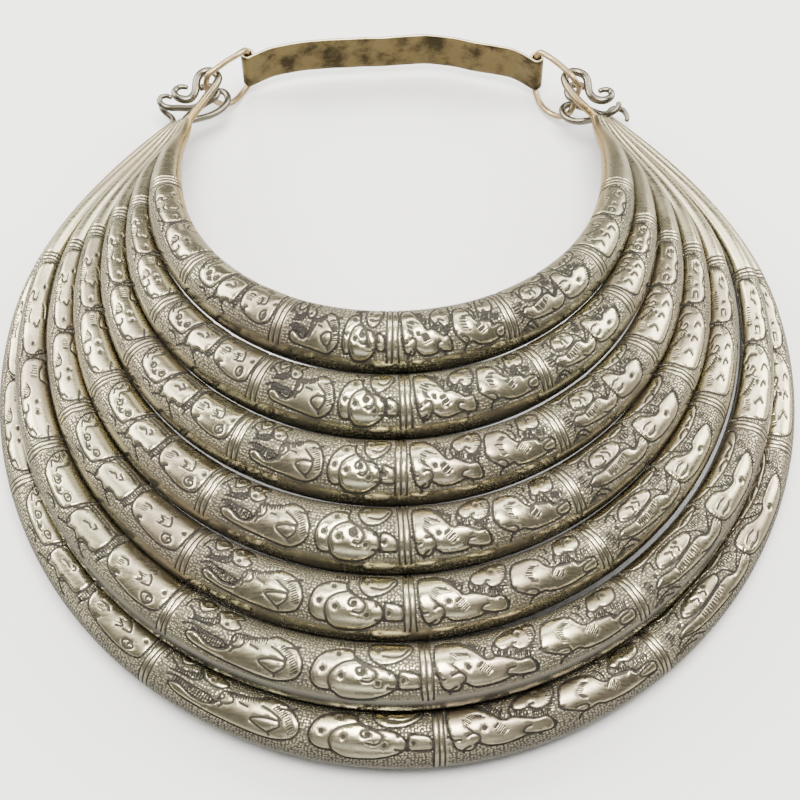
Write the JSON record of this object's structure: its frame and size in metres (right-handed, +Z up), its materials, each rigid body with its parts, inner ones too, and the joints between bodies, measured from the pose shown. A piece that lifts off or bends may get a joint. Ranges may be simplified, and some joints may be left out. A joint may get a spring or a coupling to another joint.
{
  "type": "ceremonial torc necklace",
  "caption": "Rigid ceremonial necklace of nested hollow crescent torcs with chased panels, wire hooks, oval links and a flat nape strap.",
  "frame": {"origin": "bottom centre of the necklace's bounding box, on the surface it rests on", "axes": "+X the wearer's left, -Y the front of the chest, +Z up through the neck opening"},
  "size_m": [0.2688, 0.2782, 0.0653],
  "materials": {
    "white_metal": "worn silver-white metal, dark in the chased lines",
    "brass_wire": "rubbed brass wire",
    "strap_metal": "mottled olive brown sheet with a bright edge"
  },
  "bodies": {
    "root": {"ring_1": "white_metal", "ring_2": "white_metal", "ring_3": "white_metal", "ring_4": "white_metal", "ring_5": "white_metal", "ring_6": "white_metal", "ring_7": "white_metal", "link_left": "brass_wire", "link_right": "brass_wire", "nape_strap": "strap_metal"}
  },
  "joints": []
}
